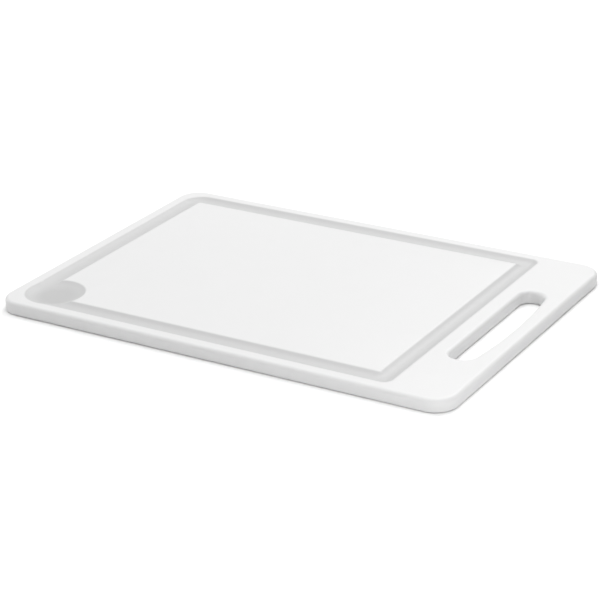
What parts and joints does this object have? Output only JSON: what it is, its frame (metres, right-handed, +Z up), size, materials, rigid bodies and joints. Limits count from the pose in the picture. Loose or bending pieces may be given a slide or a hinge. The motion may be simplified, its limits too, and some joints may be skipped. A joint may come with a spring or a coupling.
{
  "type": "cutting board",
  "caption": "White polyethylene cutting board with a juice groove round the cutting area, a round corner well and a handle slot.",
  "frame": {"origin": "centre of the board's length and width, at the underside", "axes": "+X along the length towards the handle slot, +Z up out of the cutting face; the round well is in the -X, -Y corner"},
  "size_m": [0.34, 0.24, 0.009],
  "materials": {
    "white_polyethylene": "satin moulded polyethylene, slightly translucent, with a very fine moulded grain"
  },
  "bodies": {
    "root": {"board": "white_polyethylene"}
  },
  "joints": []
}
